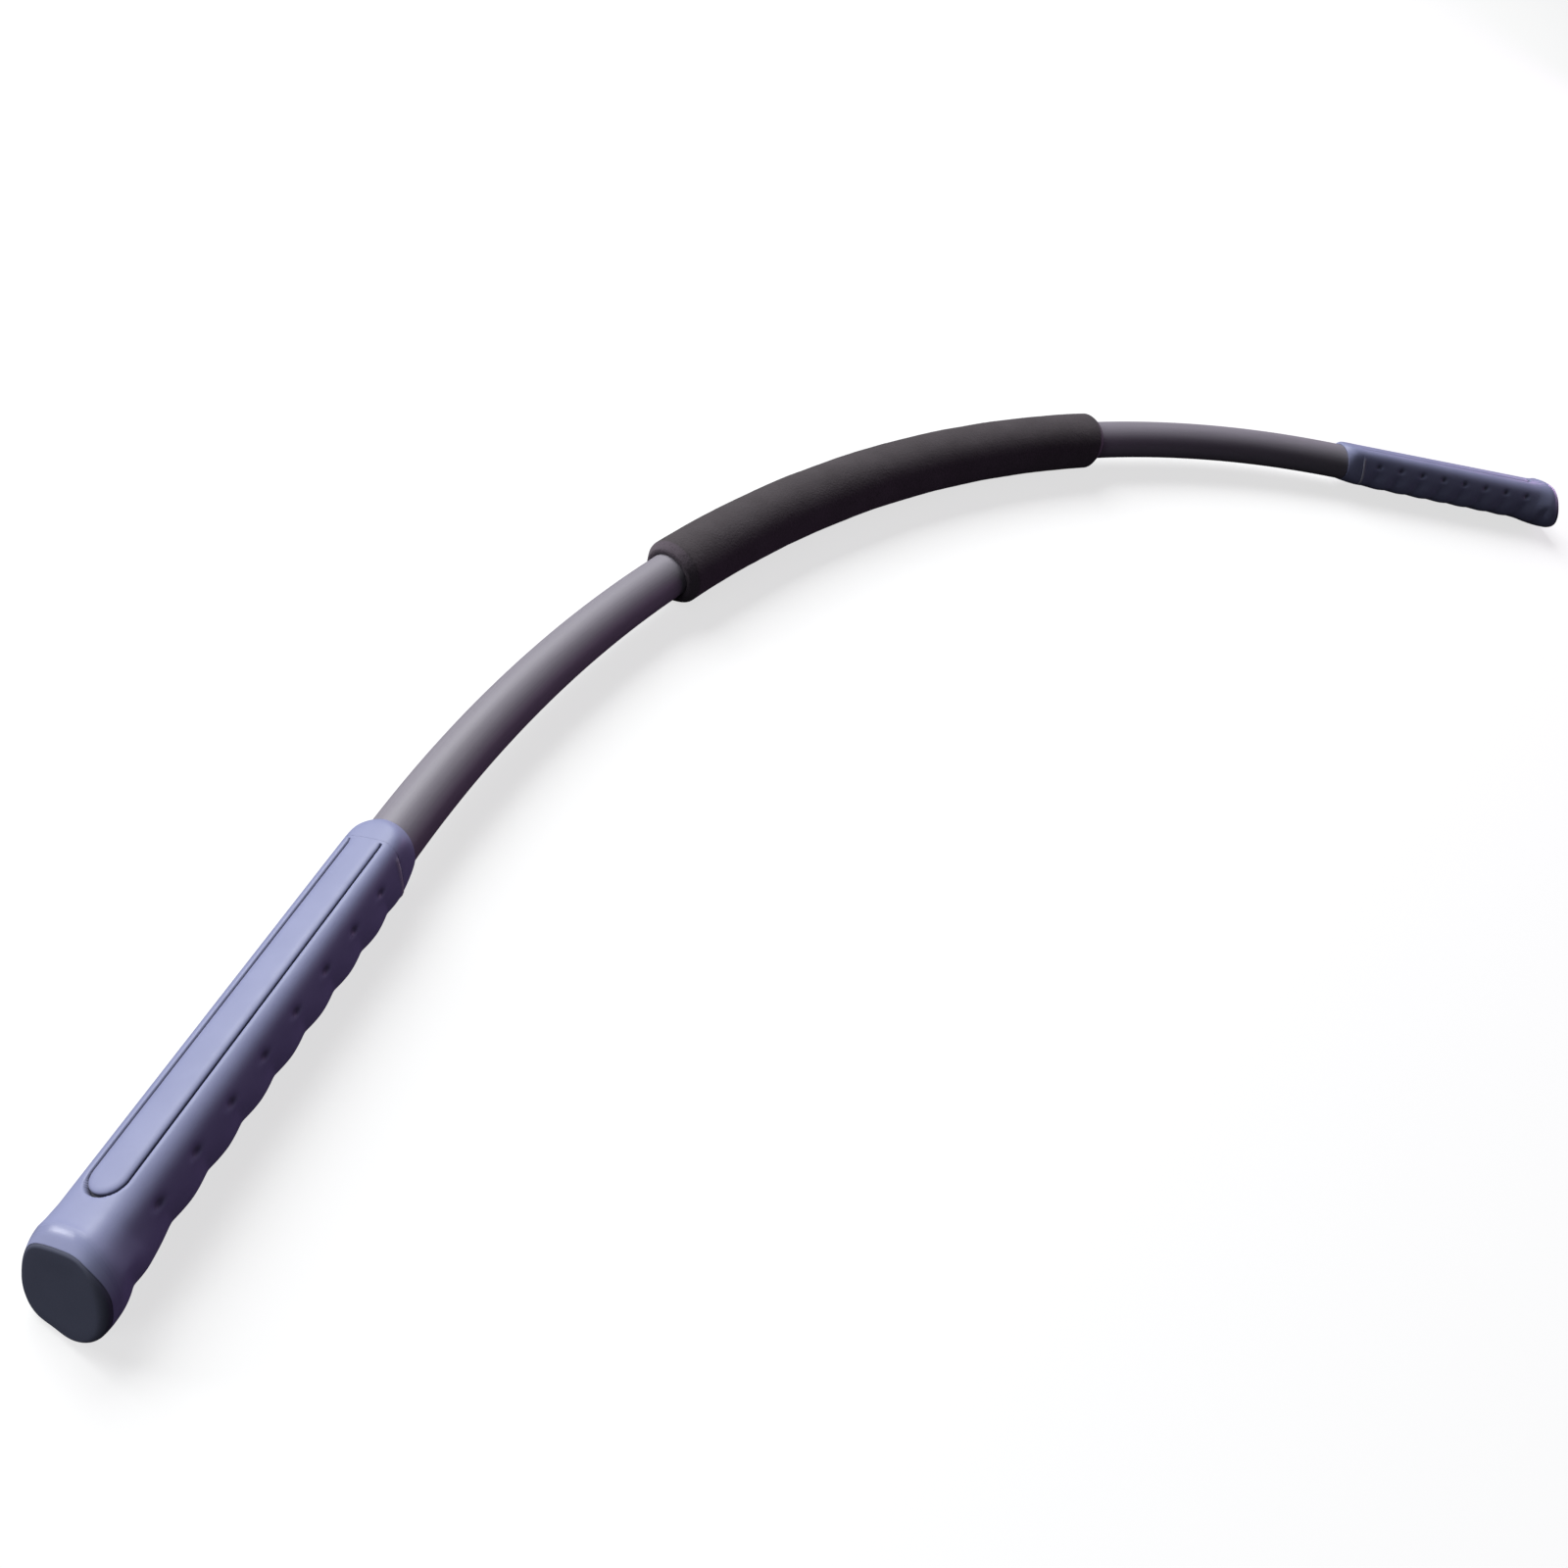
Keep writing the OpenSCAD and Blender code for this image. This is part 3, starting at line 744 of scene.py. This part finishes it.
def sleeve_side(put, phi_at):
    """Seam, grooves, pits, beads and the panel's pocket, from the collar to END_FROM."""
    first = phi_at(COLLAR_LEN)
    x = leaned(COLLAR_LEN, first)
    put(ring_at(x, INSERT_R, first))
    put(ring_at(x, form_radius(x, first) - SEAM_DEPTH * seam(first), first),
        SEAM_SHADE * seam(first))
    for row in grip_rows():
        phi = phi_at(row)
        x = leaned(row, phi)
        r = form_radius(x, phi) - groove_drop(x, phi)
        dent = pit(x, phi)
        top = np.cos(phi) > TOP_FROM
        drop = np.where(top, pocket_drop(x, np.where(top, r * np.sin(phi), OFF_PANEL)), 0)
        # Painted shade: darker down in the panel's pocket and in the pits.
        shade = np.where(top, np.clip((drop - SHADE_FROM) / SHADE_RUN, 0, SHADE_MOST), 0)
        dark = np.maximum(PIT_SHADE * ease(dent * 1.1), shade)
        # Painted highlight: the seam's beads are painted pale to stand for their glints; they are
        # also polished.
        bead = seam_beads(phi) * np.exp(-((row - COLLAR_LEN - BEAD_AT) / BEAD_WIDTH) ** 2)
        put(ring_at(x, r - PIT_DEPTH * dent - drop + BEAD_HEIGHT * bead, phi), dark, bead, bead)


def sleeve_end(put, phi):
    """The slanted end: wall, crease, band, face edge, then down into the end cap's pocket."""
    wall = form_radius(FLARE_TO, phi)
    face = cap_section(phi, CAP_FIT)
    inner = inner_side(phi)
    shoulder = (slant_x(wall, phi) - END_BAND - END_BAND_INNER * inner, wall)
    edge = (slant_x(face, phi) - EDGE_BACK - EDGE_BACK_INNER * inner, face)
    run = np.hypot(edge[0] - shoulder[0], edge[1] - shoulder[1])
    soft = np.minimum(CREASE, 0.5 * run)
    along = ((edge[0] - shoulder[0]) / run, (edge[1] - shoulder[1]) / run)
    before = (shoulder[0] - soft, wall)
    after = tuple(p + soft * d for p, d in zip(shoulder, along))
    near = tuple(p - np.minimum(EDGE_SOFT, 0.3 * run) * d for p, d in zip(edge, along))
    for q in shares(WALL_ROWS):
        x = END_FROM + (before[0] - END_FROM) * q
        form = form_radius(x, phi) * (1 - q ** 4) + wall * q ** 4
        put(ring_at(x, form - groove_drop(x, phi) * (1 - q ** 4), phi))
    for q in shares(CREASE_ROWS):
        put(ring_at(*bezier(q, before, shoulder, after), phi), shine=math.sin(math.pi * q))
    for q in BAND_ROWS:
        put(ring_at(*(a + (b - a) * q for a, b in zip(after, near)), phi))
    inside = (edge[0] - 0.3, face - 0.02)
    for q in shares(EDGE_ROWS):
        put(ring_at(*bezier(q, near, edge, inside), phi), EDGE_SHADE * q)
    put(ring_at(slant_x(face, phi, POCKET_X), face - 0.03, phi), POCKET_SHADE)
    put(ring_at(slant_x(PLUG_R, phi, POCKET_X), PLUG_R, phi))
    put(ring_at(INSERT_END, PLUG_R, phi))
    put(ring_at(INSERT_END, INSERT_R, phi))


def sleeve_shape():
    """Rings of the grip's soft sleeve, out along its side and back through its bore."""
    rings, hollow, wear_and_painted_highlight, polish = [], [], [], []

    # Each ring carries its painted shade, its painted paleness on the beads, and its polish.
    def put(ring, dark=0.0, paled_for_wear_and_highlight=0.0, shine=0.0):
        rings.append(ring)
        for values, value in ((hollow, dark), (wear_and_painted_highlight, paled_for_wear_and_highlight), (polish, shine)):
            values.append(np.broadcast_to(value, ring.shape[:1]))

    sleeve_side(put, lambda row: column_angles(leaned(row, 0.0)))
    sleeve_end(put, column_angles(END_FROM))
    for x in BORE_ROWS:
        put(ring_at(x, INSERT_R, column_angles(x)))
    values = {"hollow": hollow, "wear_and_painted_highlight": wear_and_painted_highlight, "polish": polish}
    return np.array(rings), {key: np.array(value) for key, value in values.items()}


def collar_shape():
    """Rounded leaning nose of the grip with the bore for the sheath."""
    phi = column_angles(leaned(COLLAR_LEN, 0.0))
    rings, hollow = [], []

    def put(x, r, dark=0.0):
        rings.append(ring_at(x, r, phi))
        hollow.append(np.broadcast_to(dark, phi.shape))

    back = leaned(COLLAR_LEN, phi) - FIT
    front = NOSE_X - COLLAR_R * np.cos(phi) * math.tan(LEAN)
    lip = form_radius(front + 0.1, phi)
    put(back, INSERT_R)
    put(SHEATH_IN, INSERT_R)
    # Painted shade: full inside the bore, fading out over the lip, and along the seam.
    put(SHEATH_IN, COLLAR_BORE, 1.0)
    for back_by, share, dark in LIP_RINGS:
        put(front + back_by, COLLAR_BORE + share * (lip - COLLAR_BORE), dark)
    for q in COLLAR_ROWS:
        x = front + (back - front) * q
        put(x, form_radius(x, phi))
    put(back, form_radius(back, phi) - SEAM_DEPTH * seam(phi), SEAM_SHADE * seam(phi))
    return np.array(rings), np.array(hollow)


def panel_shape():
    """The palm panel: an outline with a straight front and a round end, built in rings inward."""
    xs = np.linspace(PANEL_X0, PANEL_ROUND_X, 68)
    turn = np.linspace(math.pi / 2, 0, 25)[1:]
    table = np.radians(np.linspace(-60, 60, 1201))

    def top_at(x, y):
        r = form_radius(x, table)
        return np.interp(y, r * np.sin(table), r * np.cos(table))

    points, faces, hollow = [], [], []
    for inward, height, dark in PANEL_RINGS:
        half = PANEL_HALF - inward
        xe = np.concatenate([xs, PANEL_ROUND_X + half * np.cos(turn)])
        ye = np.concatenate([np.full(xs.shape, half), half * np.sin(turn)])
        x = np.concatenate([xe, xe[-2::-1]])
        y = np.concatenate([ye, -ye[-2::-1]])
        z = np.array([top_at(a, b) for a, b in zip(x, y)])
        front = np.clip((x - PANEL_X0) / FRONT_RUN, 0, 1)
        fade = front if height > FOOT else np.ones(x.shape)
        points.append(np.stack([x, y, z + height * fade + PANEL_RAISE * front], -1))
        # Painted shade: dark down the panel's edge, in the gap round it.
        hollow.append(dark * fade)
    n, m = len(points), len(points[0])
    for i in range(n - 1):
        for j in range(m - 1):
            faces.append((i * m + j, i * m + j + 1, (i + 1) * m + j + 1, (i + 1) * m + j))
    for base in (0, (n - 1) * m):
        for j in range((m - 1) // 2):
            k = m - 1 - j
            quad = (base + j, base + j + 1, base + k - 1, base + k)
            faces.append(tuple(dict.fromkeys(quad)))
    faces.append(tuple([i * m for i in range(n)] + [i * m + m - 1 for i in range(n - 1, -1, -1)]))
    return np.concatenate(points), faces, np.concatenate(hollow)


def cap_shape():
    """End cap: a plate in the slanted end, its face edge eased, most on the inner side."""
    phi = np.arange(CAP_COLUMNS) * 2 * math.pi / CAP_COLUMNS
    rings, wear_and_painted_highlight = [], []

    def put(grow, x, paled_for_wear_and_highlight=0.0, dish=0.0):
        r = cap_section(phi, grow)
        rings.append(ring_at(slant_x(r, phi, x) - dish, r, phi))
        wear_and_painted_highlight.append(paled_for_wear_and_highlight)

    put(-0.3, POCKET_X + 0.1)
    put(0.0, POCKET_X + 0.4)
    put(0.0, GRIP_LEN - 3.0)
    edge = CAP_EDGE + CAP_EDGE_INNER * inner_side(phi)
    for t in np.linspace(0, math.pi / 2, CAP_EDGE_ROWS):
        put(-edge * (1 - math.cos(t)), CAP_FACE - edge * (1 - math.sin(t)),
            CAP_RUB * math.sin(2 * t) ** 2)
    for grow in CAP_RINGS:
        put(grow, CAP_FACE, dish=DISH * rise(-grow, *DISH_RISE))
    return np.array(rings), np.repeat(np.array(wear_and_painted_highlight, float)[:, None], len(phi), 1)


def tube(rings, closed=True):
    """Points of the right grip and faces of a row of rings."""
    n, m = rings.shape[:2]
    return on_grip(rings).reshape(-1, 3), ring_faces(n, m, closed)


sleeve_rings, sleeve_values = sleeve_shape()
collar_rings, collar_hollow = collar_shape()
panel_points, panel_faces, panel_hollow = panel_shape()
cap_rings, cap_rub = cap_shape()

# name, (points, faces), values, angle of sharp edges, material, slot, node that it replaces
GRIP_PIECES = (
    ("grip_sleeve_soft_", tube(sleeve_rings), sleeve_values, 46,
     SOFT_GRIP, "grip_soft", "grip_sleeve_"),
    ("collar_nose_", tube(collar_rings), {"hollow": collar_hollow}, 60,
     SOFT_GRIP, "grip_soft", "collar_"),
    ("palm_panel_inlay_", (on_grip(panel_points), panel_faces), {"hollow": panel_hollow}, 50,
     SOFT_GRIP, "grip_soft", "palm_panel_"),
    ("end_cap_plate_", tube(cap_rings, closed=False), {"wear_and_painted_highlight": cap_rub}, 50,
     CAP, "cap", "end_cap_"))

for side in SIDES:
    grip = side + "_grip"
    for name, (points, faces), values, sharp, material, slot, node in GRIP_PIECES:
        obj = make_piece(name + side, points, faces, side, values=values, sharp=sharp)
        dress(obj, material, slot)
        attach(obj, grip)
        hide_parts(node + side)
    dress(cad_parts["grip_insert_" + side], HARD, "grip_hard")
    dress(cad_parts["retaining_pin_" + side], STEEL, "pin_steel")


# Floor, light and camera

FLOOR_REACH = 9.0
FLOOR_SEEN, FLOOR_BOUNCE, FLOOR_GLOW = (0.5, 0.5, 0.5, 1), (0.05, 0.047, 0.055, 1), 0.69
SKY, SKY_LIGHT, SKY_SEEN = (0.92, 0.88, 1.0, 1), 0.018, 1.0

CAM_RIGHT = Vector((0.755684, -0.587368, 0.289724))
CAM_UP = Vector((0.348810, 0.735358, 0.581017))
CAM_BACK = Vector((-0.554322, -0.338007, 0.760578))
CAM_AT = Vector((-0.455337, MID_Y * MM - 0.307365, AXIS_Z * MM + 0.391702))
CAM_LENS, CAM_SENSOR = 29.4916, 36.0
CAM_CLIP = (0.01, 60.0)


def floor_material():
    """Pale floor that keeps a soft shadow and throws little light back."""
    mat = bpy.data.materials.new("floor_pale")
    mat.use_nodes = True
    add, link = mat.node_tree.nodes.new, mat.node_tree.links.new
    mat.node_tree.nodes.clear()
    out, total = add("ShaderNodeOutputMaterial"), add("ShaderNodeAddShader")
    diffuse, glow = add("ShaderNodeBsdfDiffuse"), add("ShaderNodeEmission")
    seen = add("ShaderNodeLightPath").outputs["Is Camera Ray"]
    tint = add("ShaderNodeMix")
    tint.data_type = "RGBA"
    tint.inputs[6].default_value = FLOOR_BOUNCE
    tint.inputs[7].default_value = FLOOR_SEEN
    share = add("ShaderNodeMath")
    share.operation = "MULTIPLY"
    share.inputs[1].default_value = FLOOR_GLOW
    glow.inputs["Color"].default_value = (1, 1, 1, 1)
    link(seen, tint.inputs[0])
    link(tint.outputs[2], diffuse.inputs["Color"])
    link(seen, share.inputs[0])
    link(share.outputs[0], glow.inputs["Strength"])
    link(diffuse.outputs[0], total.inputs[0])
    link(glow.outputs[0], total.inputs[1])
    link(total.outputs[0], out.inputs["Surface"])
    return mat


floor_mesh = bpy.data.meshes.new("floor")
corners = [(x * FLOOR_REACH, y * FLOOR_REACH, 0) for x, y in ((-1, -1), (1, -1), (1, 1), (-1, 1))]
floor_mesh.from_pydata(corners, [], [(0, 1, 2, 3)])
floor_mesh.materials.append(floor_material())
floor = add_object("floor", floor_mesh)

world = bpy.data.worlds.new("studio")
scene.world = world
world.use_nodes = True
tree = world.node_tree
sky = tree.nodes["Background"]
sky.inputs["Color"].default_value = SKY
path = tree.nodes.new("ShaderNodeLightPath")
level = tree.nodes.new("ShaderNodeMapRange")
level.inputs["To Min"].default_value = SKY_LIGHT
level.inputs["To Max"].default_value = SKY_SEEN
tree.links.new(path.outputs["Is Camera Ray"], level.inputs["Value"])
tree.links.new(level.outputs["Result"], sky.inputs["Strength"])

camera_data = bpy.data.cameras.new("camera")
camera_data.lens = CAM_LENS
camera_data.sensor_width = CAM_SENSOR
camera_data.clip_start, camera_data.clip_end = CAM_CLIP
camera = add_object("camera", camera_data)
camera.matrix_world = Matrix((
    (CAM_RIGHT.x, CAM_UP.x, CAM_BACK.x, CAM_AT.x),
    (CAM_RIGHT.y, CAM_UP.y, CAM_BACK.y, CAM_AT.y),
    (CAM_RIGHT.z, CAM_UP.z, CAM_BACK.z, CAM_AT.z),
    (0, 0, 0, 1)))
bpy.context.scene.camera = camera


def soft_box(name, at, aim, size, watts, color):
    data = bpy.data.lights.new(name, "AREA")
    data.shape = "RECTANGLE"
    data.size, data.size_y = size
    data.energy = watts
    data.color = color
    obj = add_object(name, data)
    obj.location = at
    obj.rotation_mode = "QUATERNION"
    obj.rotation_quaternion = (Vector(aim) - Vector(at)).to_track_quat("-Z", "Y")


soft_box("key_back", at=(-0.15, 1.9, 1.75), aim=(-0.05, 0.0, 0.0), size=(2.0, 1.5),
         watts=70, color=(0.98, 1.0, 1.0))
soft_box("side_left", at=(-1.6, 1.6, 0.85), aim=(-0.45, -0.08, 0.0), size=(0.45, 0.7),
         watts=9.5, color=(0.97, 0.98, 1.0))
soft_box("fill_front", at=(-1.15, -0.1, 0.5), aim=(-0.4, -0.05, 0.0), size=(0.4, 0.4),
         watts=0.9, color=(0.92, 0.95, 1.0))
soft_box("low_magenta", at=(1.3, -0.25, 0.2), aim=(-0.3, 0.0, 0.0), size=(0.9, 0.3),
         watts=3.4, color=(0.9, 0.55, 1.0))

scene.view_settings.view_transform = "Standard"
